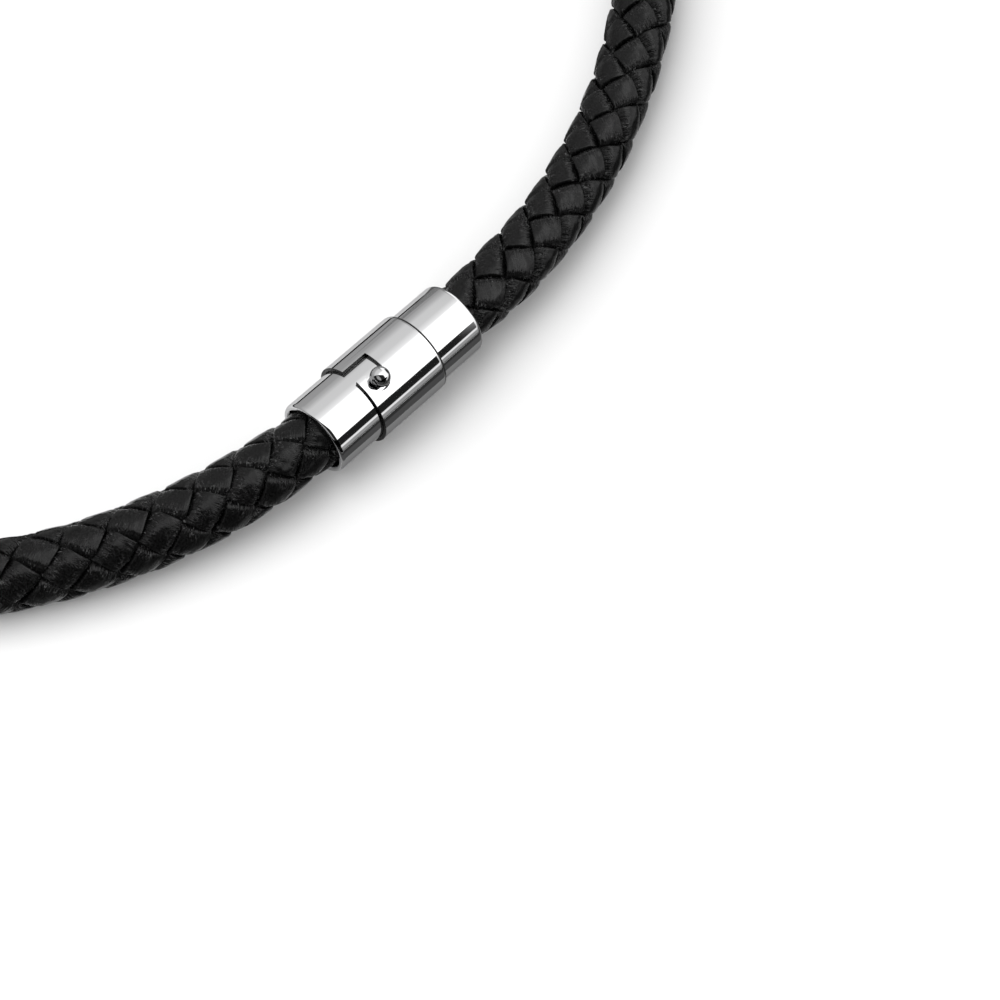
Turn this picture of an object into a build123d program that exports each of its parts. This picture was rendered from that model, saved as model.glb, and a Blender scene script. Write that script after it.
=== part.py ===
from build123d import *
from math import asin, atan, ceil, cos, degrees, floor, pi, radians, sin, tau
import os

# Braided leather cord necklace with a bayonet clasp, closed and lying on a surface.
# Millimetres and degrees. +Z is up, the surface is Z = 0, and the origin is the middle of
# the necklace's own box, on that surface. The clasp lies along +X on the -Y side.

# Whole necklace and its route
necklace_length = 450.0        # once round, through the middle of the cord and the clasp
straight_tail = 3.0            # straight cord outside the socket's mouth before it bends
bend_inside = 3.1              # how far inside the pin cap the other end's bend starts
settle_length = 22.0           # the cord sinks from the clasp's height to the surface in this

# Braid
cord_diameter = 6.4            # where it is free
gripped_diameter = 6.0         # where the cups hold it
swell_length = 8.0             # the cord swells from one to the other outside a cup in this
strands_each_way = 4
pitch_at_socket = 4.46         # length of one lozenge along the cord, at its first end
pitch_at_pin_cap = 4.24        # and at its last end
twist_per_mm = 0.756           # slow turn of the whole braid along the cord, in degrees
first_crossing = 5.83          # from the clasp's middle to the first crossing
first_angle = 24.9             # angle of the first column of lozenges there, from the top
crown_length_share = 0.26      # half length of a crown, as a share of the crossing spacing
crown_thickness = 0.44         # of a strip where it passes over
valley_thickness = 0.42        # and where it passes under
valley_depth = 1.09            # from the cord's surface to the top of a strip passing under
crown_side_gap = 0.52          # kept between strips side by side on the outside
valley_side_gap = 0.92         # and inside
crown_angle = 52.0             # slant of a strip's width against the cord where it is over
valley_angle = 38.0            # and where it is under

# Metal
cord_clearance = 0.20          # between the gripped cord and its bore, all round
cap_wall = 0.53
plug_clearance = 0.04          # between the plug and the sleeve, all round
sleeve_wall = 0.34
pin_cap_length = 5.18          # mouth to the sleeve's open edge
sleeve_length = 8.04
socket_cap_length = 5.28       # the sleeve's step to its mouth
pin_cap_bore_depth = 5.60
socket_bore_depth = 5.40
plug_reach = 5.60              # how far the plug goes into the sleeve
plug_end_gap = 0.40
lip_radius = 0.24
inner_lip = 0.10
step_radius = 0.16
sleeve_edge_radius = 0.07

# Bayonet slot and its pin
slot_depth = 2.87              # from the sleeve's open edge to the far wall of the slot
leg_width = 1.66
pocket_diameter = 2.24         # of the round end of the leg, under the locked ball
notch_width = 1.73             # measured round the sleeve
lock_turn = 27.4               # turn from the notch to the locked pin
pin_angle = -1.8               # from the top, towards the inside of the loop
pin_diameter = 1.16
ball_diameter = 1.92
ball_lift = 0.55               # the ball's centre above the sleeve's surface
pin_hole_clearance = 0.03
pin_hole_depth = 1.60
finger_corner_radius = 0.42

# Worked out from the above
cord_radius = cord_diameter / 2
gripped_radius = gripped_diameter / 2
bore_radius = gripped_radius + cord_clearance
cap_radius = bore_radius + cap_wall
sleeve_bore_radius = cap_radius + plug_clearance
sleeve_radius = sleeve_bore_radius + sleeve_wall
clasp_length = pin_cap_length + sleeve_length + socket_cap_length
pin_cap_mouth = -clasp_length / 2
sleeve_open_edge = pin_cap_mouth + pin_cap_length
sleeve_step = sleeve_open_edge + sleeve_length
socket_mouth = clasp_length / 2
plug_end = sleeve_open_edge + plug_reach
slot_far_wall = sleeve_open_edge + slot_depth
pin_station = slot_far_wall - pocket_diameter / 2
notch_angle = degrees(notch_width / sleeve_radius)
notch_low = pin_angle + lock_turn - notch_angle / 2
notch_high = notch_low + notch_angle

# The route: straight through the clasp, a quarter turn, a half turn, a quarter turn
straight_ahead = clasp_length / 2 + straight_tail
straight_behind = clasp_length / 2 - bend_inside
straight_all = straight_ahead + straight_behind
near_radius = (necklace_length - straight_all * (1 + pi / 2)) / tau
far_radius = near_radius + straight_all / 2
route = [
    # length of the stretch, radius of its bend or None where it is straight
    (straight_ahead, None),
    (near_radius * pi / 2, near_radius),
    (far_radius * pi, far_radius),
    (near_radius * pi / 2, near_radius),
    (straight_behind, None),
]
clasp_x = (straight_behind - straight_ahead) / 2
clasp_y = (sleeve_radius - near_radius - far_radius - cord_radius) / 2
clasp_place = Pos(clasp_x, clasp_y, sleeve_radius)


def eased_outside(station, length):
    """Grows smoothly from 0 at a cup's mouth to 1 at a distance outside it."""
    from_clasp = min(station, necklace_length - station) - clasp_length / 2
    share = min(max(from_clasp / length, 0.0), 1.0)
    return share * share * (3 - 2 * share)


def on_route(station):
    """Middle of the cord at a distance from the clasp's middle, and its heading in radians."""
    x, y, heading = 0.0, 0.0, 0.0
    left = station
    for length, radius in route:
        step = min(left, length)
        if radius is None:
            x += step * cos(heading)
            y += step * sin(heading)
        else:
            turned = heading + step / radius
            x += radius * (sin(turned) - sin(heading))
            y += radius * (cos(heading) - cos(turned))
            heading = turned
        left -= step
        if left <= 0:
            break
    height = sleeve_radius - (sleeve_radius - cord_radius) * eased_outside(station, settle_length)
    return Vector(x + clasp_x, y + clasp_y, height), heading


# The crossings lie half a pitch apart, and the pitch changes evenly along the cord
last_station = necklace_length - clasp_length / 2 + pin_cap_bore_depth - 0.5 * pitch_at_pin_cap
mean_pitch = (pitch_at_socket + pitch_at_pin_cap) / 2
pitch_change = (pitch_at_pin_cap - pitch_at_socket) / (last_station - first_crossing)


def crossing_station(number):
    """Distance along the route of a crossing, counted from 0 and not only in whole numbers."""
    return first_crossing + number / 2 * pitch_at_socket + pitch_change * mean_pitch * number**2 / 8


crossings = 0
while crossing_station(crossings + 1) < last_station:
    crossings += 1

# A strip's sizes in the cups where it is over and where it is under: the radius of its flat
# inner side, the radius of its ridge, its width, and its slant
lay_length = pitch_at_pin_cap * strands_each_way


def room_across(radius):
    """Width that parallel strips leave each other at a radius inside the cord."""
    return pitch_at_pin_cap * sin(atan(tau * radius / lay_length))


valley_ridge = gripped_radius - valley_depth
strip_over = (
    gripped_radius - crown_thickness,
    gripped_radius,
    room_across(gripped_radius) - crown_side_gap,
    radians(crown_angle),
)
strip_under = (
    valley_ridge - valley_thickness,
    valley_ridge,
    room_across(valley_ridge) - valley_side_gap,
    radians(valley_angle),
)


def strip_section(number, turns, offset, is_over):
    """Three corners of a strip at one place: its two edges, and its ridge on the outside."""
    station = crossing_station(number)
    middle, heading = on_route(station)
    flat, ridge, width, slant = strip_over if is_over else strip_under
    swell = 1 + (cord_radius / gripped_radius - 1) * eased_outside(station, swell_length)
    flat, ridge, width = flat * swell, ridge * swell, width * swell
    column_step = pi / strands_each_way
    slow_turn = radians(first_angle + twist_per_mm * (station - first_crossing))
    angle = slow_turn + turns * number * column_step + offset
    along = Vector(cos(heading), sin(heading), 0)
    inward = Vector(-sin(heading), cos(heading), 0)
    up = Vector(0, 0, 1)
    out = up * cos(angle) + inward * sin(angle)
    round_it = inward * cos(angle) - up * sin(angle)
    across = round_it * cos(slant) - along * (turns * sin(slant))
    edge = across * (width / 2)
    return (middle + out * flat - edge, middle + out * ridge, middle + out * flat + edge)


def strip(turns, offset):
    """One leather strip, three faces round: a flat crown over each second crossing, and a
    narrow valley under the ones between. Each side of a stretch is two triangles, parted
    along its shorter diagonal so that the strip stays round."""
    sections = []
    for number in range(crossings + 1):
        is_over = number % 2 == (1 if turns > 0 else 0)
        half_length = crown_length_share if is_over else 0
        start = max(number - half_length, 0)
        end = min(number + half_length, crossings)
        places = (start, end) if end > start else (number,)
        sections += [strip_section(place, turns, offset, is_over) for place in places]
    triangles = [sections[0][::-1], sections[-1]]
    for here, there in zip(sections, sections[1:]):
        for a, b in ((0, 1), (1, 2), (2, 0)):
            if (a > b) == (turns > 0):
                triangles.append((here[a], here[b], there[b]))
                triangles.append((here[a], there[b], there[a]))
            else:
                triangles.append((here[a], here[b], there[a]))
                triangles.append((here[b], there[b], there[a]))
    faces = [Face(Wire.make_polygon(triangle)) for triangle in triangles]
    return Solid(Shell(faces))


def tube(low, high, radius, hole_radius=0.0):
    """Cylinder along X between two stations, with a hole if it has a hole radius."""
    outer = Cylinder(radius, high - low)
    inner = Cylinder(hole_radius, high - low) if hole_radius else None
    body = outer - inner if inner else outer
    return Pos((low + high) / 2, 0, 0) * Rot(Y=90) * body


def rim(part, station, radius):
    """The circular edge of a turned part at a station along X."""
    circles = part.edges().filter_by(GeomType.CIRCLE)
    return circles.sort_by(lambda e: abs(e.arc_center.X - station) + abs(e.radius - radius))[0]


def at_angle(angle):
    """Turns what stands on top of the clasp round its axis, towards the loop's inside."""
    return Rot(X=-angle)


def wall_cut(low, high, low_angle, high_angle):
    """Cutter through the sleeve's wall, between two stations and two angles from the top."""
    inside = sleeve_bore_radius - plug_clearance / 2
    outside = sleeve_radius + sleeve_wall
    outline = Plane.XZ * Pos((low + high) / 2, (inside + outside) / 2)
    face = outline * Rectangle(high - low, outside - inside)
    return at_angle(high_angle) * revolve(face, Axis.X, high_angle - low_angle)


def pin_cap():
    """Cup for one cord end, with the plug that fits in the sleeve and the pin's hole."""
    body = tube(pin_cap_mouth, plug_end, cap_radius)
    body -= tube(pin_cap_mouth, pin_cap_mouth + pin_cap_bore_depth, bore_radius)
    body = fillet(rim(body, pin_cap_mouth, cap_radius), lip_radius)
    body = chamfer(rim(body, pin_cap_mouth, bore_radius), inner_lip)
    body = chamfer(rim(body, plug_end, cap_radius), 2 * inner_lip)
    hole = Cylinder(pin_diameter / 2 + pin_hole_clearance, 2 * pin_hole_depth)
    return body - at_angle(pin_angle) * Pos(pin_station, 0, cap_radius) * hole


def slotted_socket():
    """Cup for the other cord end, in one with the wider sleeve and its L slot."""
    body = tube(sleeve_open_edge, sleeve_step, sleeve_radius)
    body += tube(sleeve_step, socket_mouth, cap_radius)
    body -= tube(sleeve_open_edge, plug_end + plug_end_gap, sleeve_bore_radius)
    body -= tube(socket_mouth - socket_bore_depth, socket_mouth, bore_radius)
    body = fillet(rim(body, socket_mouth, cap_radius), lip_radius)
    body = chamfer(rim(body, socket_mouth, bore_radius), inner_lip)
    body = fillet(rim(body, sleeve_step, sleeve_radius), step_radius)
    body = fillet(rim(body, sleeve_open_edge, sleeve_radius), sleeve_edge_radius)
    leg_edge = slot_far_wall - leg_width
    body -= wall_cut(sleeve_open_edge - leg_width, slot_far_wall, notch_low, notch_high)
    body -= wall_cut(leg_edge, slot_far_wall, pin_angle, notch_high)
    tilt = radians(notch_low)
    corner = Vector(leg_edge, sleeve_radius * sin(tilt), sleeve_radius * cos(tilt))
    through_wall = body.edges().filter_by(lambda e: abs(e.length - sleeve_wall) < inner_lip / 2)
    body = fillet(through_wall.sort_by_distance(corner)[0], finger_corner_radius)
    pocket = Pos(pin_station, 0, sleeve_radius) * Cylinder(pocket_diameter / 2, 4 * sleeve_wall)
    return body - at_angle(pin_angle) * pocket


def lock_pin():
    """Ball-headed pin that stands in the plug and reaches out through the slot."""
    ball_height = sleeve_radius + ball_lift
    foot = cap_radius - pin_hole_depth + pin_hole_clearance
    neck = Pos(pin_station, 0, (foot + ball_height) / 2) * Cylinder(
        pin_diameter / 2, ball_height - foot
    )
    return at_angle(pin_angle) * (neck + Pos(pin_station, 0, ball_height) * Sphere(ball_diameter / 2))


parts = {
    "pin_cap": clasp_place * pin_cap(),
    "slotted_socket": clasp_place * slotted_socket(),
    "lock_pin": clasp_place * lock_pin(),
}
for count in range(strands_each_way):
    start_angle = tau * count / strands_each_way
    parts[f"strand_rising_{count + 1}"] = strip(1, start_angle)
    parts[f"strand_falling_{count + 1}"] = strip(-1, start_angle)

os.makedirs("parts", exist_ok=True)
for name, part in parts.items():
    export_step(part, f"parts/{name}.step")
    print(name, "volume", round(part.volume, 1), "faces", len(part.faces()), "valid", part.is_valid)
print("bend radii", round(near_radius, 1), round(far_radius, 1), "crossings", crossings)
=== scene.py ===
# %% [markdown]
# # A braided leather cord necklace with a bayonet clasp
# The necklace is eight flat leather strips plaited into a round cord, closed by a polished
# steel clasp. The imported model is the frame: it says where everything is and how large.
# Everything below is worked out in millimetres in a frame of its own, whose origin lies on
# the surface under the middle of the clasp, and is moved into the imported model's frame when
# a mesh is made.

import math

import bmesh
import bpy
import numpy as np
from mathutils import Matrix, Vector


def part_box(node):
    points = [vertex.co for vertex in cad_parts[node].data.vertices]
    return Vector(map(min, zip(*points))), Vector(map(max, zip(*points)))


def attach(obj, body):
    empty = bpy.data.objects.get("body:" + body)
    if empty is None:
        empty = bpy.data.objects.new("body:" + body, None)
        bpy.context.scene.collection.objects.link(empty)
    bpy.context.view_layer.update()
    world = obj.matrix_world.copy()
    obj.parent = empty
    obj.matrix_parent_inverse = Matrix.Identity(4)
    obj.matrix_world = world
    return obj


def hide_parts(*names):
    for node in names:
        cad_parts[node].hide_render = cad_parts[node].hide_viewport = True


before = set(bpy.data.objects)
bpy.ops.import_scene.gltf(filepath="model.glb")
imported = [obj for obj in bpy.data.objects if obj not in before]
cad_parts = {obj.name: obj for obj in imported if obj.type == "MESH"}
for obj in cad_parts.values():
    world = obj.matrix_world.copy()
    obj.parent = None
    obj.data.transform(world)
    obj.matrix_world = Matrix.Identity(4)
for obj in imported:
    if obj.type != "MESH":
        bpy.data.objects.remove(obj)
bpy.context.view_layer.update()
socket_low, socket_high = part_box("slotted_socket")
cap_low, cap_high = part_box("pin_cap")
print("packed pieces:", len(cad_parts))

# %% [markdown]
# ## Sizes
# These are the model's own sizes, in millimetres and degrees. The clasp lies along X; the
# pin cap is on the left, the slotted socket on the right. The slot is laid out by its place
# along the clasp and its angle round it, from straight up.

# %% The sizes of the cord and the clasp
MM = 1000.0  # millimetres in a metre

CORD_RADIUS, GRIPPED_RADIUS = 3.2, 3.0
FREE_CROWN_RADIUS = 3.26
NECKLACE_LENGTH = 450.0
SETTLE_LENGTH, SWELL_LENGTH = 22.0, 8.0

BORE_RADIUS = 3.20
CAP_RADIUS = 3.73
SLEEVE_BORE = 3.77
SLEEVE_RADIUS = 4.11
PIN_CAP_MOUTH, OPEN_EDGE, SLEEVE_STEP, SOCKET_MOUTH = -9.25, -4.07, 3.97, 9.25
PIN_CAP_BORE, SOCKET_BORE = 5.60, 5.40
PLUG_END, SLEEVE_FLOOR = 1.53, 1.93

SLOT_WALL, LEG_WIDTH, POCKET_RADIUS = -1.20, 1.66, 1.12
PIN_ANGLE, NOTCH_LOW, NOTCH_WIDTH = -1.8, 13.54, 1.73
NOTCH_HIGH = NOTCH_LOW + math.degrees(NOTCH_WIDTH / SLEEVE_RADIUS)
FINGER_ROUNDING = 0.42

clasp_place = (
    socket_low.x * MM - OPEN_EDGE,
    (socket_low.y + socket_high.y) / 2 * MM,
    0.0,
)
print("the clasp's middle is at", [round(v, 2) for v in clasp_place], "mm")
cap_reach = [round(corner.x * MM - clasp_place[0], 2) for corner in (cap_low, cap_high)]
print("the pin cap reaches from", cap_reach[0], "to", cap_reach[1], "mm along the clasp")

# %% [markdown]
# ## From numbers to meshes
# Every new piece is a sheet of points worked out as whole arrays. One helper turns a grid of
# points into four-sided faces, and another writes points and faces into a mesh. The place of
# a piece is in its mesh, and its object stays at the origin.


# %% Helpers that write meshes
def grid_faces(rows, columns, closed=False):
    """Four corners of each cell of a grid of points numbered row by row. A closed grid joins
    its last column to its first."""
    last = columns if closed else columns - 1
    row, column = np.meshgrid(np.arange(rows - 1), np.arange(last), indexing="ij")
    beside = (column + 1) % columns
    corners = [row * columns + column, row * columns + beside]
    corners += [(row + 1) * columns + beside, (row + 1) * columns + column]
    return np.stack(corners, axis=-1).reshape(-1, 4)


def show(name, data):
    """An object for a mesh, a lamp or a camera, put into the scene at the origin."""
    shown = bpy.data.objects.new(name, data)
    bpy.context.scene.collection.objects.link(shown)
    return shown


def write_mesh(name, points, faces):
    """A mesh object from points in millimetres in the clasp's frame, and a list of arrays of
    faces: each array holds faces with equally many corners."""
    mesh = bpy.data.meshes.new(name)
    places = (np.asarray(points, float) + clasp_place) / MM
    mesh.vertices.add(len(places))
    mesh.vertices.foreach_set("co", places.astype(np.float32).ravel())
    corners = np.concatenate([np.asarray(block).ravel() for block in faces])
    sizes = np.concatenate([np.full(len(block), np.shape(block)[1]) for block in faces])
    starts = np.concatenate([[0], np.cumsum(sizes)[:-1]])
    mesh.loops.add(len(corners))
    mesh.loops.foreach_set("vertex_index", corners.astype(np.int32))
    mesh.polygons.add(len(sizes))
    mesh.polygons.foreach_set("loop_start", starts.astype(np.int32))
    mesh.polygons.foreach_set("use_smooth", np.ones(len(sizes), bool))
    mesh.update(calc_edges=True)
    mesh.validate()
    return show(name, mesh)


def dress(piece, material, slot, *nodes):
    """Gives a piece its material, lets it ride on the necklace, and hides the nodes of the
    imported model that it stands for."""
    piece.data.materials.append(material)
    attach(piece, "root")
    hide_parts(*nodes)


# %% [markdown]
# ## The route
# The middle of the cord runs straight through the clasp, turns a quarter circle, a half
# circle and a quarter circle, and comes back into the pin cap. Beside the clasp it sinks from
# the clasp's height until the leather lies on the surface.

# %% The cord's middle line
STRAIGHT_AHEAD = 12.25
STRAIGHT_BEHIND = 6.15
STRAIGHTS = STRAIGHT_AHEAD + STRAIGHT_BEHIND
NEAR_RADIUS = (NECKLACE_LENGTH - STRAIGHTS * (1 + math.pi / 2)) / math.tau
FAR_RADIUS = NEAR_RADIUS + STRAIGHTS / 2
BENDS = (
    # length, radius
    (NEAR_RADIUS * math.pi / 2, NEAR_RADIUS),
    (FAR_RADIUS * math.pi, FAR_RADIUS),
    (NEAR_RADIUS * math.pi / 2, NEAR_RADIUS),
)


def eased(share):
    """Goes smoothly from 0 to 1 as its share does, and stays there: 3t2 - 2t3."""
    share = np.clip(share, 0, 1)
    return share**2 * (3 - 2 * share)


def eased_outside(station, length):
    """Grows smoothly from 0 at a cup's mouth to 1 at a distance outside it."""
    outside = np.minimum(station, NECKLACE_LENGTH - station) - SOCKET_MOUTH
    return eased(outside / length)


def middle_line(station):
    """Point and heading at a distance along the route. Each stretch adds its own share: a
    straight adds its length along the heading, and a bend of radius R from heading a to
    heading b adds R (sin b - sin a, cos a - cos b)."""
    ahead = np.minimum(station, STRAIGHT_AHEAD)
    x, y, heading = ahead, np.zeros_like(station), np.zeros_like(station)
    left = np.maximum(station - STRAIGHT_AHEAD, 0)
    for length, radius in BENDS:
        turned_to = heading + np.minimum(left, length) / radius
        x = x + radius * (np.sin(turned_to) - np.sin(heading))
        y = y + radius * (np.cos(heading) - np.cos(turned_to))
        heading = turned_to
        left = np.maximum(left - length, 0)
    x = x + left * np.cos(heading)
    y = y + left * np.sin(heading)
    sunk = (SLEEVE_RADIUS - CORD_RADIUS) * eased_outside(station, SETTLE_LENGTH)
    return np.stack([x, y, SLEEVE_RADIUS - sunk], axis=-1), heading


print("bend radii:", round(NEAR_RADIUS, 1), "and", round(FAR_RADIUS, 1), "mm")

# %% [markdown]
# ## The plait
# Four strips wind one way and four the other, and each goes over one and under the next.
# Crossings lie half a lozenge apart. Counting them from one end, a strip is at a crossing
# number, and its angle round the cord grows or falls by an eighth of a turn at each. The
# lozenges shorten evenly along the cord, and the whole plait turns slowly round it.

# %% Where the strips cross
PITCH_START, PITCH_END = 4.46, 4.24  # length of a lozenge
FIRST_CROSSING, FIRST_ANGLE = 5.83, 24.9
TWIST = 0.756  # degrees for each millimetre
CROSSINGS = 201
LAST_STATION = NECKLACE_LENGTH - SOCKET_MOUTH + PIN_CAP_BORE - PITCH_END / 2
PITCH_MEAN = (PITCH_START + PITCH_END) / 2
PITCH_CHANGE = (PITCH_END - PITCH_START) / (LAST_STATION - FIRST_CROSSING)


def crossing_station(number):
    """Distance of a crossing along the route: the first one's, plus half the first pitch for
    each crossing after it, plus what the pitch's even change adds, which grows with the
    square of the number."""
    change = PITCH_CHANGE * PITCH_MEAN * number**2 / 8
    return FIRST_CROSSING + number / 2 * PITCH_START + change


print("the last crossing is", round(crossing_station(CROSSINGS), 1), "mm along the route")

# %% [markdown]
# ## One leather strip
# A strip is cut flat, with edges that round off a little, and pressed into a pillow where it
# lies on top. So its section is a flat bar with a crowned upper side, and the whole bar dives
# between crossings. The bar is carried along in the cord's own cylinder coordinates, so it
# wraps round the cord as the real strip does. A slow, small wander keeps the strips from
# being all alike, as hand-fed leather is. Soft lumps, and short folds where the next strip
# squeezes it, are in the mesh too, because they show in the outline.

# %% The strip's section
STRIP_HALF_WIDTH = 1.59
STRIP_THICKNESS = 0.82
EDGE_ROUNDING = 0.13
CROWN = 0.10
TOP_POINTS, UNDER_POINTS = 25, 6
UNDER_REACH, UNDER_CROWN = 0.94, 0.3  # shares of the half width and of the crown


def strip_section():
    """Across (-1 to 1) and depth (mm) of the points round a strip's section: the crowned top
    from edge to edge with quarter-round corners, then the flat underside back again. The
    crown falls with the square of the distance across."""
    across = np.sin(np.linspace(-math.pi / 2, math.pi / 2, TOP_POINTS))
    corner = EDGE_ROUNDING / STRIP_HALF_WIDTH
    over_corner = np.clip((np.abs(across) - 1 + corner) / corner, 0, 1)
    depth = CROWN * across**2 + EDGE_ROUNDING * (1 - np.sqrt(1 - over_corner**2))
    under = np.linspace(UNDER_REACH, -UNDER_REACH, UNDER_POINTS)
    across = np.concatenate([across, under])
    depth = np.concatenate([depth, STRIP_THICKNESS + UNDER_CROWN * CROWN * under**2])
    return across, depth


print("points round a strip:", len(strip_section()[0]))

# %% What keeps the strips from being all alike
WANDER_RATES = (0.71, 1.63, 2.57)
WIDTH_WANDER, SIDE_WANDER, TILT_WANDER, LOW_WANDER = 0.035, 0.09, 0.05, 0.05
LUMP_DEPTH, FOLD_DEPTH = 0.014, 0.040
FOLD_START, FOLD_LENGTH = 0.06, 0.36  # in crossings, from the middle of the top


def wander(number, seed, size):
    """A slow, smooth wander of a given size: three sine waves with phases from a seed."""
    phases = np.random.default_rng(seed).uniform(0, math.tau, 3)
    waves = [np.sin(number * rate + phase) for rate, phase in zip(WANDER_RATES, phases)]
    return size * sum(waves) / 2


def relief(number, squeeze, sideways, seed):
    """How far (mm) the lumps and folds leave the leather low. Lumps are the product of two
    sine waves that run aslant along and across the strip. Folds are the product of two finer
    ones, of which the first is bent by a third wave along the strip; they grow with the
    squeeze and are on the top alone."""
    lumps = np.sin(2.6 * sideways + 5.1 * number + seed) * np.sin(1.7 * sideways - 4.3 * number)
    folds = np.sin(8.6 * sideways + 3.0 * np.sin(2.3 * number + seed))
    folds = folds * np.sin(3.9 * sideways + 2.9 * number + seed)
    folded = np.clip((squeeze - FOLD_START) / FOLD_LENGTH, 0, 1)
    on_top = np.arange(TOP_POINTS + UNDER_POINTS) < TOP_POINTS
    return LUMP_DEPTH * (1 + lumps) + FOLD_DEPTH * folded * (1 + folds) * on_top


# %% The strip as a surface
RINGS_PER_CROSSING = 12
DIVE, DIVE_START, DIVE_LENGTH = 1.16, 0.28, 0.56  # mm, then crossings from the top's middle
SLANT = math.atan2(math.pi / 4 * GRIPPED_RADIUS, PITCH_MEAN / 2)


def strip_points(number, way, quarter):
    """Points of a strip, their distance across it (mm), and how squeezed it is, from 0 on
    top of one strip to 1 under the next. The radius is the gripped cord's, less the dive,
    the section's depth, the tilt and the relief, times the swell outside the cups. The angle
    is the plait's turn there plus the distance across over the radius."""
    seed = 10 * quarter + way
    across, depth = strip_section()
    half_width = STRIP_HALF_WIDTH * (1 + wander(number, seed + 100, WIDTH_WANDER))
    sideways = across * half_width + wander(number, seed + 200, SIDE_WANDER)
    top_number = 1 if way > 0 else 0
    squeeze = np.abs((number - top_number + 1) % 2 - 1)
    dive = eased((squeeze - DIVE_START) / DIVE_LENGTH)
    tilt = wander(number, seed + 300, TILT_WANDER) * across
    low = np.abs(wander(number, seed + 400, LOW_WANDER))
    low = low + relief(number, squeeze, sideways, seed)
    station = crossing_station(number) - way * sideways * math.sin(SLANT)
    swell = 1 + (FREE_CROWN_RADIUS / GRIPPED_RADIUS - 1) * eased_outside(station, SWELL_LENGTH)
    radius = GRIPPED_RADIUS - low - DIVE * dive - depth - tilt * (1 - dive)
    radius = np.minimum(radius, GRIPPED_RADIUS) * swell
    turn = math.radians(FIRST_ANGLE) + math.radians(TWIST) * (station - FIRST_CROSSING)
    turn = turn + way * number * math.pi / 4 + quarter * math.pi / 2
    angle = turn + sideways * math.cos(SLANT) / GRIPPED_RADIUS
    middle, heading = middle_line(station)
    inward = np.stack([-np.sin(heading), np.cos(heading), np.zeros_like(heading)], axis=-1)
    outward = np.cos(angle)[..., None] * np.array([0, 0, 1]) + np.sin(angle)[..., None] * inward
    points = middle + radius[..., None] * outward
    points[..., 2] = np.maximum(points[..., 2], 0.0)
    return points, sideways, np.broadcast_to(squeeze, sideways.shape)


def map_strip(piece, along, sideways, squeeze):
    """Writes the strip's own map, in millimetres along and across it, and its squeeze."""
    corner_point = np.empty(len(piece.data.loops), np.int32)
    piece.data.loops.foreach_get("vertex_index", corner_point)
    uv = np.stack([along.ravel(), sideways.ravel()], axis=-1)[corner_point]
    piece.data.uv_layers.new(name="strip").data.foreach_set("uv", uv.astype(np.float32).ravel())
    squeezed = piece.data.attributes.new("squeeze", "FLOAT", "POINT")
    squeezed.data.foreach_set("value", squeeze.astype(np.float32).ravel())


def strip(name, way, quarter, material):
    """One strip of the plait. way is +1 for a strip whose angle grows along the cord and -1
    for one whose angle falls; quarter counts the four strips of that way. Each strip starts
    at a place of its own on the leather. The grid's faces are turned over, so that they look
    outwards, from a corner that gives the two ways mirrored diagonals."""
    number = np.linspace(0, CROSSINGS, CROSSINGS * RINGS_PER_CROSSING + 1)[:, None]
    points, sideways, squeeze = strip_points(number, way, quarter)
    rings, around = points.shape[:2]
    outwards = (3, 2, 1, 0) if way > 0 else (0, 3, 2, 1)
    faces = grid_faces(rings, around, closed=True)[:, outwards]
    ends = np.stack([np.arange(around), (rings - 1) * around + np.arange(around)[::-1]])
    piece = write_mesh(name, points.reshape(-1, 3), [faces, ends])
    length = number * PITCH_MEAN / 2 / math.cos(SLANT)
    along = np.broadcast_to(length + 37.0 * quarter + 11.0 * way, sideways.shape)
    map_strip(piece, along, sideways, squeeze)
    dress(piece, material, "leather", name.replace("leather_strip", "strand"))
    return piece


print("a strip runs", round(math.degrees(SLANT), 1), "degrees aslant")

# %% [markdown]
# ## Materials from nodes
# A material is a graph of small steps. This helper adds a node, sets its values and links its
# inputs, so that each finish below reads like a recipe.


# %% A helper for node graphs
class Graph:
    """A graph of shader nodes. add() makes a node: a value that is a socket is linked, and any
    other value is set."""

    def __init__(self, tree):
        self.tree = tree

    def add(self, kind, inputs=(), **settings):
        node = self.tree.nodes.new("ShaderNode" + kind)
        for key, value in settings.items():
            setattr(node, key, value)
        self.fill(node, dict(inputs))
        return node

    def fill(self, node, inputs):
        for key, value in inputs.items():
            if isinstance(value, bpy.types.NodeSocket):
                self.tree.links.new(value, node.inputs[key])
            else:
                node.inputs[key].default_value = value

    def maths(self, operation, first, second=0.0, clamp=False):
        inputs = {0: first, 1: second}
        return self.add("Math", inputs, operation=operation, use_clamp=clamp).outputs[0]

    def weighed(self, *terms):
        """The sum of values, each times its weight."""
        total, *parts = [self.maths("MULTIPLY", value, weight) for value, weight in terms]
        for part in parts:
            total = self.maths("ADD", total, part)
        return total

    def noise(self, vector, scale, detail=2.0, roughness=0.5, distortion=0.0):
        inputs = {"Vector": vector, "Scale": scale, "Detail": detail}
        inputs.update({"Roughness": roughness, "Distortion": distortion})
        return self.add("TexNoise", inputs).outputs["Fac"]

    def stretch(self, vector, scale):
        return self.add("Mapping", {"Vector": vector, "Scale": scale}).outputs[0]

    def spread(self, value, start, end, low, high):
        """Takes a value from start to end to one from low to high."""
        return self.add("MapRange", {0: value, 1: start, 2: end, 3: low, 4: high}).outputs[0]

    def soft_step(self, value, start, end):
        """Goes smoothly from 0 at start to 1 at end."""
        inputs = {0: value, 1: start, 2: end, 3: 0.0, 4: 1.0}
        return self.add("MapRange", inputs, interpolation_type="SMOOTHSTEP").outputs[0]


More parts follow.
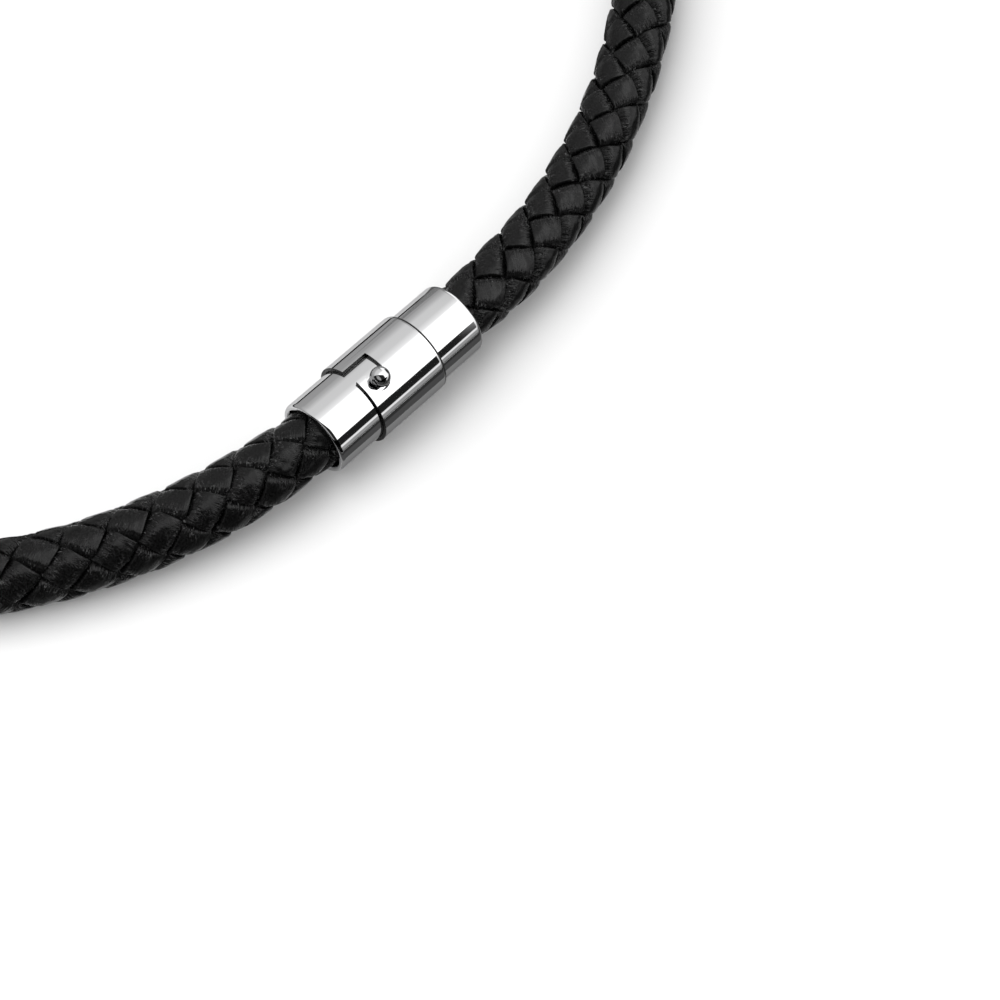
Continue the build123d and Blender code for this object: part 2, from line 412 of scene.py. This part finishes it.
class Recipe(Graph):
    """The graph of a new material, with its shader."""

    def __init__(self, name):
        self.material = bpy.data.materials.new(name)
        self.material.use_nodes = True
        super().__init__(self.material.node_tree)
        self.shader = self.tree.nodes["Principled BSDF"]

    def bump(self, height, sunk=False):
        """A bump from a height in millimetres, raised from the surface or sunk into it."""
        inputs = {"Height": height, "Strength": 1.0, "Distance": 1 / MM}
        return self.add("Bump", inputs, invert=sunk).outputs[0]


# %% [markdown]
# ## Black leather
# Dyed smooth leather: nearly black, with a soft sheen. Its grain is a faint pebble all over,
# and shallow hollows make the sheen uneven. Where a strip is squeezed under the next one it
# gathers into small pleats along its length, and near there, in patches, thin creases run
# over it. Here and there on the creases a painted highlight makes the colour paler. The
# relief is a bump, because it is too shallow to show in the outline. All of it is read from
# the strip's own map, in millimetres along and across it. The relief is raised on the strips
# that wind one way and sunk on the others, so that the two sets differ a little.

# %% The leather's recipe
GRAIN_HEIGHT, HOLLOW_HEIGHT, PLEAT_HEIGHT, CREASE_HEIGHT = 0.007, 0.07, 0.13, 0.06
CREASE_SHARPNESS, STRAY_CREASES = 16.0, 0.10
# The last value is a painted highlight: how much paler the colour is on specks along the
# creases.
DARKEST, PALEST, PAINTED_GLINT = 0.0014, 0.0062, 0.07
ROUGHEST, SMOOTHEST = 0.20, 0.13


def creases_on(made, strip_map, near_end):
    """Creases, and how much of them shows. A crease is thin, where a noise passes its middle
    value: 1 less its distance from 0.5 times the sharpness."""
    waves = made.noise(made.stretch(strip_map, (0.9, 1.9, 1.0)), 1.0, 1.0, 0.5, 1.8)
    away = made.maths("ABSOLUTE", made.maths("SUBTRACT", waves, 0.5))
    away = made.maths("MULTIPLY", away, CREASE_SHARPNESS)
    crease = made.maths("SUBTRACT", 1.0, away, clamp=True)
    patch = made.soft_step(made.noise(strip_map, 0.6, 1.0), 0.38, 0.56)
    return crease, made.maths("MULTIPLY", patch, made.maths("MAXIMUM", near_end, STRAY_CREASES))


def leather_material(name, sunk):
    """Height: grain, hollows, pleats where the strip is squeezed, and creases. Colour: from
    the grain, paler where a highlight is painted on the creases. Roughness: from the grain."""
    made = Recipe(name)
    strip_map = made.add("UVMap", uv_map="strip").outputs[0]
    squeeze = made.add("Attribute", attribute_name="squeeze").outputs["Fac"]
    near_end = made.soft_step(squeeze, 0.06, 0.42)

    grain = made.noise(strip_map, 5.2, 2.0, 0.6)
    hollows = made.noise(made.stretch(strip_map, (1.0, 1.3, 1.0)), 1.0, 0.0)
    pleats = made.noise(made.stretch(strip_map, (0.6, 4.2, 1.0)), 1.0, 1.0, 0.5, 1.0)
    pleats = made.maths("MULTIPLY", pleats, near_end)
    crease, shown = creases_on(made, strip_map, near_end)
    height = made.weighed(
        (grain, GRAIN_HEIGHT),
        (hollows, HOLLOW_HEIGHT),
        (pleats, PLEAT_HEIGHT),
        (made.maths("MULTIPLY", crease, shown), CREASE_HEIGHT),
    )

    specks = made.soft_step(made.noise(strip_map, 3.6, 2.0, 0.7), 0.44, 0.60)
    # Painted highlight: the base colour is made paler on specks along the creases.
    painted_glint = made.maths("MULTIPLY", crease, made.maths("MULTIPLY", shown, specks))
    shade = made.spread(grain, 0.34, 0.66, DARKEST, PALEST)
    shade = made.maths("ADD", shade, made.maths("MULTIPLY", painted_glint, PAINTED_GLINT))
    rough = made.spread(grain, 0.3, 0.7, ROUGHEST, SMOOTHEST)
    made.fill(made.shader, {"Base Color": shade, "Roughness": rough})
    made.fill(made.shader, {"IOR": 1.5, "Specular IOR Level": 0.155})
    made.fill(made.shader, {"Normal": made.bump(height, sunk)})
    return made.material


leather = leather_material("black_leather", sunk=False)
sunk_leather = leather_material("black_leather_sunk", sunk=True)
print("leathers:", leather.name, "and", sunk_leather.name)

# %% [markdown]
# ## Plait the cord
# The strips of one way are alike but for their wander, and stand a quarter turn apart. A
# strip of the other way goes over where these go under. Each is a piece of its own and takes
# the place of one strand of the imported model.

# %% Make the eight strips
strips = []
for quarter in range(4):
    strips.append(strip(f"leather_strip_rising_{quarter + 1}", 1, quarter, leather))
    strips.append(strip(f"leather_strip_falling_{quarter + 1}", -1, quarter, sunk_leather))
print("leather strips:", len(strips), "with", len(strips[0].data.polygons), "faces each")

# %% [markdown]
# ## Turned steel
# The caps are turned on a lathe, so each is a profile carried round an axis. A profile is a
# list of stations along the axis and radii; rounded corners are short arcs of points.

# %% Turning a profile
AROUND = 192
ROLL_POINTS, ROLL_LENGTH = 13, 0.42
JOIN_DISTANCE, SLIVER = 2e-7, 1e-7  # metres


def rolled_edge(end, radius, side, drop):
    """Points of a quarter ellipse that rolls an outer edge over, from the outside to the face
    at the end. side is +1 where that face looks towards +X. The point at angle a lies
    1 - sin a of the roll's length from the face and 1 - cos a of the drop under the outside."""
    angle = np.linspace(0, math.pi / 2, ROLL_POINTS)
    station = end - side * ROLL_LENGTH * (1 - np.sin(angle))
    return np.stack([station, radius - drop * (1 - np.cos(angle))], -1)


def turned(profile, angles):
    """Points on rings round the X axis through the clasp's middle: y = r sin a, z = r cos a."""
    station, radius = np.asarray(profile, float).T[:, :, None]
    x = station + 0 * angles
    return np.stack([x, radius * np.sin(angles), SLEEVE_RADIUS + radius * np.cos(angles)], -1)


def finish_turned(piece, sharp=32.0):
    """Joins doubled points, turns the faces outwards, and keeps the sharp edges sharp."""
    sheet = bmesh.new()
    sheet.from_mesh(piece.data)
    bmesh.ops.remove_doubles(sheet, verts=sheet.verts, dist=JOIN_DISTANCE)
    bmesh.ops.dissolve_degenerate(sheet, edges=sheet.edges, dist=SLIVER)
    bmesh.ops.recalc_face_normals(sheet, faces=sheet.faces)
    sheet.to_mesh(piece.data)
    sheet.free()
    piece.data.set_sharp_from_angle(angle=math.radians(sharp))


# %% [markdown]
# ## Polished steel
# Mirror-polished steel shows the room more than itself. It is a little uneven from the
# polishing, which makes the reflected lines waver, and very finely scratched. Where the slot,
# the sleeve's open edge and its step were cut the polish stops: those faces are rough, and
# they are painted nearly black as painted shade.

# %% The steel's recipe
WAVE_HEIGHT, STREAK_HEIGHT, SCRATCH_HEIGHT, BURR_HEIGHT = 0.0035, 0.0009, 0.00004, 0.03


def steel_material():
    """Height: broad waves, streaks along the clasp and fine scratches. The scratches also
    make the polish a little rougher."""
    made = Recipe("polished_steel")
    place = made.add("TexCoord").outputs["Object"]
    waves = made.noise(made.stretch(place, (300, 900, 900)), 1.0, 2.0)
    streaks = made.noise(made.stretch(place, (90, 2600, 2600)), 1.0, 2.0)
    scratches = made.noise(made.stretch(place, (9000, 60000, 60000)), 1.0, 2.0)
    height = made.weighed(
        (waves, WAVE_HEIGHT), (streaks, STREAK_HEIGHT), (scratches, SCRATCH_HEIGHT)
    )
    rough = made.spread(scratches, 0.3, 0.7, 0.030, 0.055)
    made.fill(made.shader, {"Base Color": (0.60, 0.60, 0.605, 1), "Metallic": 1.0})
    made.fill(made.shader, {"Specular Tint": (0.62, 0.62, 0.62, 1)})
    made.fill(made.shader, {"Roughness": rough, "Normal": made.bump(height)})
    return made.material


def shaded_cut_steel_material():
    """A fine burr gives the height, and the same noise varies the nearly black colour, which is
    painted shade.
    """
    made = Recipe("shaded_cut_steel")
    place = made.add("TexCoord").outputs["Object"]
    burr = made.noise(place, 9000.0, 3.0, 0.6)
    # Painted shade: the colour is nearly black, varied by the burr's noise.
    shade = made.spread(burr, 0.35, 0.75, 0.012, 0.075)
    bump = made.bump(made.maths("MULTIPLY", burr, BURR_HEIGHT))
    made.fill(made.shader, {"Base Color": shade, "Metallic": 1.0})
    made.fill(made.shader, {"Roughness": 0.45, "Normal": bump})
    return made.material


steel = steel_material()
shaded_cut_steel = shaded_cut_steel_material()
print("steel finishes:", steel.name, "and", shaded_cut_steel.name)

# %% [markdown]
# ## The pin cap
# A cup for one cord end, with a rolled lip at its mouth, and a plug of the same width that
# goes on into the sleeve. The profile runs from the middle of the bore's floor out to the
# mouth, back along the outside and in to the middle of the plug's end.

# %% Turn the pin cap
LIP = 0.24
INNER_LIP = 0.10
PLUG_CHAMFER = 0.2


def cup_mouth(mouth, side):
    """Profile of a cup's mouth from its bore to its outside. side is -1 where the mouth
    looks towards -X and +1 where it looks towards +X."""
    bore_edge = (mouth - side * INNER_LIP, BORE_RADIUS)
    face_edge = (mouth, BORE_RADIUS + INNER_LIP)
    lip = rolled_edge(mouth, CAP_RADIUS, side, LIP)
    return [bore_edge, face_edge, *map(tuple, lip[::-1])]


def pin_cap():
    """The cap's profile, turned into one closed skin."""
    floor = PIN_CAP_MOUTH + PIN_CAP_BORE
    profile = [(floor, 0.0), (floor, BORE_RADIUS), *cup_mouth(PIN_CAP_MOUTH, -1)]
    profile += [(PLUG_END - PLUG_CHAMFER, CAP_RADIUS), (PLUG_END, CAP_RADIUS - PLUG_CHAMFER)]
    profile += [(PLUG_END, 0.0)]
    angles = np.linspace(0, math.tau, AROUND + 1)[:-1]
    points = turned(profile, angles)
    faces = grid_faces(len(profile), AROUND, closed=True)
    piece = write_mesh("polished_pin_cap", points.reshape(-1, 3), [faces])
    finish_turned(piece)
    dress(piece, steel, "steel", "pin_cap")
    return piece


pin_cap_piece = pin_cap()
print("pin cap faces:", len(pin_cap_piece.data.polygons))

# %% [markdown]
# ## The slotted socket
# The socket's cup and its sleeve are one turning, and the L slot is milled through the
# sleeve's wall. The wall round the slot is a patch ruled between two lines that are laid out
# flat, as station along the axis and angle round it: the slot's own outline, and a plain
# border that the rest of the sleeve starts from. The notch comes in from the open edge and
# meets the leg, which runs round the sleeve and ends in a round pocket under the ball.

# %% The slot's outline and the patch round it
PATCH_END = SLOT_WALL + 0.8
PATCH_LOW, PATCH_HIGH = PIN_ANGLE - 24.0, NOTCH_HIGH + 10.0
DEGREE = math.radians(1) * SLEEVE_RADIUS  # millimetres round the sleeve
PIN_STATION = SLOT_WALL - POCKET_RADIUS
FINGER_LOW, FINGER_HIGH = 9.5, 12.0  # where the border follows the finger's tip
COUNTS = (22, 22, 12, 22, 12, 14, 10, 12)  # points on each run of the border


def run(start, end, count):
    """Evenly spaced points of a straight run, without its last one."""
    share = np.linspace(0, 1, count + 1)[:-1, None]
    return np.array(start) + share * (np.array(end) - np.array(start))


def slot_border():
    """Straight runs round the patch, from the notch's high side to its low side."""
    corners = [(OPEN_EDGE, PATCH_HIGH), (PATCH_END, PATCH_HIGH), (PATCH_END, PIN_ANGLE)]
    corners += [(PATCH_END, PATCH_LOW), (OPEN_EDGE, PATCH_LOW), (OPEN_EDGE, PIN_ANGLE)]
    corners += [(OPEN_EDGE, angle) for angle in (FINGER_LOW, FINGER_HIGH, NOTCH_LOW)]
    runs = [run(*ends) for ends in zip(corners, corners[1:], COUNTS)]
    return np.concatenate([*runs, [corners[-1]]])


def slot_outline():
    """The slot's outline, with as many points as the border: the notch's high side, the
    slot's wall, the round pocket, the finger's rounded tip and the notch's low side. The
    finger's tip is a circle that meets the pocket's where both are the right distance from
    their centres, by the law of cosines."""
    tip_x = SLOT_WALL - LEG_WIDTH - FINGER_ROUNDING - PIN_STATION
    tip_y = (NOTCH_LOW - PIN_ANGLE) * DEGREE - FINGER_ROUNDING
    apart = math.hypot(tip_x, tip_y)
    bend = (FINGER_ROUNDING**2 + apart**2 - POCKET_RADIUS**2) / (2 * FINGER_ROUNDING * apart)
    meet = math.atan2(-tip_y, -tip_x) + math.acos(bend)
    meet_y = tip_y + FINGER_ROUNDING * math.sin(meet)
    meet_x = tip_x + FINGER_ROUNDING * math.cos(meet)
    round_pocket = math.tau - math.atan2(meet_y, meet_x)

    turn = np.linspace(0, round_pocket, sum(COUNTS[2:6]) + 1)[:-1]
    around = PIN_ANGLE - POCKET_RADIUS / DEGREE * np.sin(turn)
    pocket = np.stack([PIN_STATION + POCKET_RADIUS * np.cos(turn), around], -1)
    turn = np.linspace(meet, math.pi / 2, COUNTS[6] + 1)[:-1]
    around = PIN_ANGLE + (tip_y + FINGER_ROUNDING * np.sin(turn)) / DEGREE
    tip = np.stack([PIN_STATION + tip_x + FINGER_ROUNDING * np.cos(turn), around], -1)
    return np.concatenate(
        [
            run((OPEN_EDGE, NOTCH_HIGH), (SLOT_WALL, NOTCH_HIGH), COUNTS[0]),
            run((SLOT_WALL, NOTCH_HIGH), (SLOT_WALL, PIN_ANGLE), COUNTS[1]),
            pocket,
            tip,
            run((PIN_STATION + tip_x, NOTCH_LOW), (OPEN_EDGE, NOTCH_LOW), COUNTS[7]),
            [(OPEN_EDGE, NOTCH_LOW)],
        ]
    )


outline, border = slot_outline(), slot_border()
print("points round the slot:", len(outline), len(border))

# %% [markdown]
# The sleeve's outside and inside are the same flat layout bent to two radii, and its wall
# closes the slot and the open edge between them. The rest, with the cup, is turned as
# before, with its rings starting from the points where the patch ends.

# %% The sleeve's wall round the slot
PATCH_ROWS, SIDE_ROWS, REST_COLUMNS = 7, 23, 140
CLOSE = 1e-9
# The second finish is rough cut steel, painted nearly black as painted shade.
POLISHED, CUT_SHADED = 0, 1
BOTH_SIDES = (SLEEVE_RADIUS, SLEEVE_BORE)
rest_angles = np.linspace(PATCH_HIGH, PATCH_LOW + 360, REST_COLUMNS)


def on_wall(flat, radius):
    """Bends a flat layout of stations and angles to a radius round the clasp's axis."""
    station, angle = flat[..., 0], np.radians(flat[..., 1])
    height = SLEEVE_RADIUS + radius * np.cos(angle)
    return np.stack([station, radius * np.sin(angle), height], -1)


def sleeve_sheets():
    """Grids of the sleeve beside the slot, each with whether it closes and its finish: the
    patch and the ring's rest, outside and inside, and the cut walls between the two, whose
    finish is rough and painted nearly black as shade."""
    share = np.linspace(0, 1, PATCH_ROWS)[:, None, None]
    patch = outline + share * (border - outline)
    side_stations = np.linspace(OPEN_EDGE, PATCH_END, SIDE_ROWS)
    ring = np.stack(np.meshgrid(side_stations, rest_angles, indexing="ij"), -1)
    flats = [(flat, radius) for radius in BOTH_SIDES for flat in (patch, ring)]
    sheets = [(on_wall(flat, radius), False, POLISHED) for flat, radius in flats]
    low_edge = border[np.abs(border[:, 0] - OPEN_EDGE) < CLOSE]
    low_edge = low_edge[low_edge[:, 1] < NOTCH_LOW + CLOSE]
    for edge in (outline, low_edge, patch[:, 0], ring[0]):
        wall = np.stack([on_wall(edge, radius) for radius in BOTH_SIDES])
        sheets.append((wall, False, CUT_SHADED))
    return sheets


print("sheets beside the slot:", len(sleeve_sheets()))

# %% The socket's turned part
STEP_LIP, STEP_BACK, STEP_ON = 0.18, 0.6, 0.3
POLISHED_ROLL = 3  # rows of the step's roll that still have their polish


def turned_sheets():
    """Grids of the sleeve's outside with its step and the cup, down to the middle of the
    bore's floor, and of the sleeve's inside. The step's face and the end of its roll are
    cut, rough and painted nearly black as shade, and the rest is polished."""
    outside = [(PATCH_END, SLEEVE_RADIUS), (SLEEVE_STEP - STEP_BACK, SLEEVE_RADIUS)]
    first_cut = len(outside) + POLISHED_ROLL
    outside += map(tuple, rolled_edge(SLEEVE_STEP, SLEEVE_RADIUS, 1, STEP_LIP))
    outside += [(SLEEVE_STEP, CAP_RADIUS)]
    last_cut = len(outside) - 1
    outside += [(SLEEVE_STEP + STEP_ON, CAP_RADIUS), *cup_mouth(SOCKET_MOUTH, 1)[::-1]]
    floor = SOCKET_MOUTH - SOCKET_BORE
    outside += [(floor, BORE_RADIUS), (floor, 0.0)]
    inside = [(PATCH_END, SLEEVE_BORE), (SLEEVE_FLOOR, SLEEVE_BORE), (SLEEVE_FLOOR, 0.0)]
    finish = np.full(len(outside) - 1, POLISHED)
    finish[first_cut:last_cut] = CUT_SHADED
    patch_angles = np.sort(border[np.abs(border[:, 0] - PATCH_END) < CLOSE][:, 1])
    angles = np.radians(np.concatenate([patch_angles[:-1], rest_angles[:-1]]))
    return [(turned(outside, angles), True, finish), (turned(inside, angles), True, POLISHED)]


print("rings of the turned part:", [len(sheet[0]) for sheet in turned_sheets()])

# %% Make the socket
EDGE_ROUND = 0.09  # the slot's broken edges


def slotted_socket():
    """Joins the sheets into one mesh: each sheet's points are counted on from the last one's,
    and each row of faces takes its finish. A small bevel breaks the cut edges."""
    points, faces, finishes, used = [], [], [], 0
    for grid, closed, finish in sleeve_sheets() + turned_sheets():
        points.append(grid.reshape(-1, 3))
        faces.append(grid_faces(*grid.shape[:2], closed) + used)
        by_row = np.broadcast_to(finish, len(grid) - 1)
        finishes.append(np.repeat(by_row, len(faces[-1]) // len(by_row)))
        used += len(points[-1])
    piece = write_mesh("polished_slotted_socket", np.concatenate(points), faces)
    piece.data.polygons.foreach_set("material_index", np.concatenate(finishes).astype(np.int32))
    finish_turned(piece)
    edges = piece.modifiers.new("edges", "BEVEL")
    edges.width = EDGE_ROUND / MM
    edges.segments = 3
    edges.limit_method = "ANGLE"
    edges.angle_limit = math.radians(50)
    edges.harden_normals = True
    edges.material = POLISHED
    dress(piece, steel, "steel", "slotted_socket")
    piece.data.materials.append(shaded_cut_steel)
    return piece


socket_piece = slotted_socket()
print("slotted socket faces:", len(socket_piece.data.polygons))

# %% [markdown]
# ## The lock pin
# A ball on a short neck. It stands in the plug and reaches out through the slot's leg, a
# little to one side of the top. It is turned too, so it is a profile carried round the pin's
# own axis.

# %% Turn the lock pin
BALL_RADIUS, NECK_RADIUS = 0.96, 0.58
BALL_HEIGHT = SLEEVE_RADIUS + 0.55
PIN_FOOT = CAP_RADIUS - 1.57
BALL_ROWS, PIN_AROUND = 40, 64
PIN_SHARP = 50.0


def lock_pin():
    """Profile along the pin's own axis, turned, then laid over by the pin's angle. The ball's
    arc ends where its radius comes down to the neck's."""
    meeting = math.degrees(math.acos(NECK_RADIUS / BALL_RADIUS))
    angle = np.radians(np.linspace(90, -meeting, BALL_ROWS))
    height = np.concatenate([BALL_HEIGHT + BALL_RADIUS * np.sin(angle), [PIN_FOOT, PIN_FOOT]])
    radius = np.concatenate([BALL_RADIUS * np.cos(angle), [NECK_RADIUS, 0.0]])
    around = np.linspace(0, math.tau, PIN_AROUND, endpoint=False)
    x = PIN_STATION + radius[:, None] * np.cos(around)
    side = radius[:, None] * np.sin(around)
    up = height[:, None] + 0 * around
    lean = math.radians(PIN_ANGLE)
    y = side * math.cos(lean) + up * math.sin(lean)
    z = SLEEVE_RADIUS + up * math.cos(lean) - side * math.sin(lean)
    points = np.stack([x, y, z], -1)
    faces = grid_faces(len(x), PIN_AROUND, closed=True)
    piece = write_mesh("polished_lock_pin", points.reshape(-1, 3), [faces])
    finish_turned(piece, PIN_SHARP)
    dress(piece, steel, "steel", "lock_pin")
    return piece


pin_piece = lock_pin()
print("lock pin faces:", len(pin_piece.data.polygons))

# %% [markdown]
# ## The surface
# The necklace lies on a plain white surface. It is a single large square, a hair lower than
# the lowest leather, so that the two never fight for the same place.

# %% The white surface
SURFACE_HALF, SURFACE_DROP = 1.5, 0.00002  # metres


def white_surface():
    """A square with its four corners at plus and minus the half width."""
    signs = [(-1, -1), (1, -1), (1, 1), (-1, 1)]
    corners = [(SURFACE_HALF * x, SURFACE_HALF * y, -SURFACE_DROP) for x, y in signs]
    mesh = bpy.data.meshes.new("white_surface")
    mesh.from_pydata(corners, [], [(0, 1, 2, 3)])
    surface = show("white_surface", mesh)
    made = Recipe("white_surface")
    made.fill(made.shader, {"Base Color": (0.82, 0.82, 0.82, 1), "Roughness": 0.9, "IOR": 1.3})
    mesh.materials.append(made.material)


white_surface()
print("white surface:", 2 * SURFACE_HALF, "m square")

# %% [markdown]
# ## The light
# Polished steel is mostly what it mirrors, so the room is drawn as bands of light that run
# along the clasp: a bright ceiling light, a paler wall on the far side, and a dark wall on
# the near side. The ends of the clasp see other walls than its middle, so the bands have a
# second set of values beyond the socket's end. The near side is dark, as a room is behind a
# camera, a little less so high up beyond the pin cap. What lights the leather and the surface
# is softer: an even light, and one large lamp that stands far to the left on the far side and
# throws the shadow forwards and to the right.

# %% The bands of the room
ROOM_BANDS = (
    # angle from straight up, positive towards the far side, brightness, and brightness beyond
    # the socket's end
    (-90, 0.06, 0.06),
    (-86, 0.45, 0.45),
    (-78, 0.45, 0.45),
    (-76.5, 1.3, 1.3),
    (-71.5, 1.3, 1.3),
    (-70.5, 0.02, 0.6),
    (-50.5, 0.02, 1.6),
    (-49, 2.4, 3.9),
    (16, 2.4, 3.9),
    (26, 1.35, 1.5),
    (42, 0.98, 0.85),
    (64, 0.96, 0.6),
    (78, 0.68, 0.4),
    (90, 0.55, 0.35),
)
ROOM_PEAK = 3.9
OPEN_SIDE = 0.431  # brightness of the room's open end, as a share of the peak
DARK_LEFT, DARKEST_WALL = 0.8, 0.01
EVEN_LIGHT = 0.62


def bands_by_angle(made, share, column):
    """A ramp with one column of the bands, as shares of the peak."""
    ramp = made.add("ValToRGB", {0: share})
    stops = ramp.color_ramp.elements
    while len(stops) < len(ROOM_BANDS):
        stops.new(0.5)
    for stop, band in zip(stops, ROOM_BANDS):
        stop.position = 0.5 + band[0] / 180
    for stop, band in zip(stops, ROOM_BANDS):
        stop.color = (band[column] / ROOM_PEAK,) * 3 + (1,)
    return ramp.outputs[0]


def mixed(made, share, first, second):
    """One colour turning into another as the share goes from 0 to 1."""
    return made.add("Mix", {0: share, 6: first, 7: second}, data_type="RGBA").outputs[2]


def lit_share(made, way):
    """How much of the bands' light is there: 1 less the larger of two dark shares. The near
    side is dark where 0.95 x + y is under zero, but not beyond the socket, and a fifth less
    where x is low and z is high at once. The far end of the clasp's axis is dark too."""
    towards = made.maths("ADD", made.maths("MULTIPLY", way["X"], 0.95), way["Y"])
    dark = made.soft_step(towards, 0.02, -0.08)
    dark = made.maths("MULTIPLY", dark, made.soft_step(way["X"], 0.33, 0.18))
    not_end = made.soft_step(way["X"], -0.60, -0.50)
    not_high = made.soft_step(way["Z"], 0.60, 0.45)
    kept = made.maths("ADD", not_end, not_high, clamp=True)
    dark = made.maths("MULTIPLY", dark, made.maths("MAXIMUM", kept, DARK_LEFT))
    far_end = made.soft_step(way["X"], 0.90, 0.96)
    lit = made.maths("SUBTRACT", 1.0, made.maths("MAXIMUM", dark, far_end))
    return made.maths("MAXIMUM", lit, DARKEST_WALL)


# %% The room that the steel mirrors
def room():
    """Bands by the angle from straight up, atan2(y, z), with the second set beyond the
    socket's end and an even light on the open side there, times the lit share. Only mirrored
    rays see them; all others see an even white."""
    world = bpy.data.worlds.new("room")
    bpy.context.scene.world = world
    world.use_nodes = True
    world.cycles.sampling_method = "NONE"
    made = Graph(world.node_tree)
    way = made.add("SeparateXYZ", {0: made.add("TexCoord").outputs["Generated"]}).outputs
    angle = made.maths("ARCTAN2", way["Y"], way["Z"])
    share = made.maths("ADD", made.maths("MULTIPLY", angle, 1 / math.pi), 0.5)
    here, beyond = bands_by_angle(made, share, 1), bands_by_angle(made, share, 2)
    bands = mixed(made, made.soft_step(way["X"], 0.45, 0.54), here, beyond)
    above_floor = made.soft_step(angle, math.radians(-74), math.radians(-66))
    open_side = made.maths("MULTIPLY", made.soft_step(way["X"], 0.60, 0.72), above_floor)
    bands = mixed(made, open_side, bands, (OPEN_SIDE, OPEN_SIDE, OPEN_SIDE, 1))
    strength = made.maths("MULTIPLY", lit_share(made, way), ROOM_PEAK)
    mirrored = made.add("Background", {"Color": bands, "Strength": strength})
    plain = made.add("Background", {"Color": (1, 1, 1, 1), "Strength": EVEN_LIGHT})
    glossy = made.add("LightPath").outputs["Is Glossy Ray"]
    mix = made.add("MixShader", {0: glossy, 1: plain.outputs[0], 2: mirrored.outputs[0]})
    made.fill(world.node_tree.nodes["World Output"], {"Surface": mix.outputs[0]})


room()
print("room bands:", len(ROOM_BANDS))

# %% [markdown]
# Polished steel needs something dark to mirror, or its rounded sides look flat. Photographers
# stand black and grey cards beside it. These ones only show in the steel and in the leather's
# sheen. On the near side stand a dark card with a black upper edge, a grey one that lies in
# front of it, and dark ground behind. On the far side a narrow dark card lies before a wide
# grey one that ends in a low grey wall. A last, dim card lies along the cord's inner side
# beyond the socket.

# %% Cards for the steel to mirror
CARD_START, CARD_END, CARD_POINTS = -75.0, 105, 61


def card(name, first, last, light, straight=False, start=CARD_START):
    """A card beside the clasp and the cord, from one distance and height to another. Distances
    are positive towards the loop's inside. It follows the cord, or else runs on straight."""
    station = np.linspace(start, CARD_END, CARD_POINTS)
    middle, heading = middle_line(station % NECKLACE_LENGTH)
    if straight:
        middle, heading = station[:, None] * (1, 0, 0), 0 * heading
    inward = np.stack([-np.sin(heading), np.cos(heading), 0 * heading], axis=-1)
    on_surface = middle * (1, 1, 0)
    lines = [on_surface + inward * aside + np.array([0, 0, up]) for aside, up in (first, last)]
    sheet = write_mesh(name, np.stack(lines, 1).reshape(-1, 3), [grid_faces(len(station), 2)])
    made = Recipe(name)
    made.fill(made.shader, {"Base Color": (0, 0, 0, 1), "Specular IOR Level": 0.0})
    made.fill(made.shader, {"Emission Color": (1, 1, 1, 1), "Emission Strength": light})
    sheet.data.materials.append(made.material)
    sheet.visible_camera = False
    sheet.visible_diffuse = False
    sheet.visible_shadow = False
    print("card:", name)


card("near_dark_card", (-12.5, 0.05), (-12.5, 4.7), 0.10)
card("near_black_card", (-12.5, 4.7), (-12.5, 6.3), 0.045)
card("near_grey_card", (-5.2, 0.1), (-12.4, 0.1), 0.34)
card("near_dark_ground", (-12.6, 0.1), (-400.0, 0.1), 0.04)
card("far_dark_card", (11.2, 0.1), (14.3, 0.1), 0.01, straight=True)
card("far_grey_card", (14.3, 0.1), (75.0, 0.1), 0.5, straight=True)
card("far_grey_wall", (75.0, 0.1), (75.0, 8.0), 0.5, straight=True)
card("inner_dark_card", (4.0, 0.1), (40.0, 0.1), 0.25, start=13.0)

# %% The lamp on the far side
LAMP_FROM_CLASP = Vector((-0.34, 0.38, 0.64))  # metres
LAMP_SIZE, LAMP_POWER = 0.70, 8.3


def far_lamp():
    """A large square lamp above the far side, which the steel doesn't mirror."""
    lamp = bpy.data.lights.new("far_lamp", "AREA")
    lamp.shape = "SQUARE"
    lamp.size = LAMP_SIZE
    lamp.energy = LAMP_POWER
    lamp_object = show("far_lamp", lamp)
    lamp_object.location = Vector(clasp_place) / MM + LAMP_FROM_CLASP
    lamp_object.rotation_euler = (-LAMP_FROM_CLASP).to_track_quat("-Z", "Y").to_euler()
    lamp_object.visible_glossy = False


far_lamp()
print("lamp:", round(LAMP_FROM_CLASP.length, 2), "m from the clasp")

# %% [markdown]
# ## The camera
# The photograph looks down on the clasp from the left, and the camera is rolled, so that the
# clasp runs up to the right. The lens is given by its focal length in picture widths. The
# camera's axes are worked out from its place, its aim and its roll, because the roll has no
# setting of its own.

# %% Place the camera
CAMERA_PLACE = Vector((-85.83, -19.75, 195.93))
CAMERA_AIM = Vector((1.898, -15.184, 0.0))
CAMERA_ROLL = 44.12
SENSOR_WIDTH, FOCAL_WIDTHS = 36.0, 2.3154

camera_data = bpy.data.cameras.new("camera")
camera_data.sensor_width = SENSOR_WIDTH
camera_data.sensor_fit = "HORIZONTAL"
camera_data.lens = SENSOR_WIDTH * FOCAL_WIDTHS
camera_data.clip_start = 0.01
camera_data.clip_end = 10.0
camera = show("camera", camera_data)
forward = (CAMERA_AIM - CAMERA_PLACE).normalized()
level = forward.cross(Vector((0, 0, 1))).normalized()
upright = level.cross(forward)
roll = math.radians(CAMERA_ROLL)
right = level * math.cos(roll) + upright * math.sin(roll)
above = upright * math.cos(roll) - level * math.sin(roll)
axes = Matrix((right, above, -forward)).transposed()
camera_place = (CAMERA_PLACE + Vector(clasp_place)) / MM
camera.matrix_world = Matrix.Translation(camera_place) @ axes.to_4x4()
bpy.context.scene.camera = camera
bpy.context.scene.view_settings.view_transform = "Standard"
bpy.context.scene.view_settings.look = "None"
print("camera at", [round(v, 4) for v in camera.matrix_world.translation])
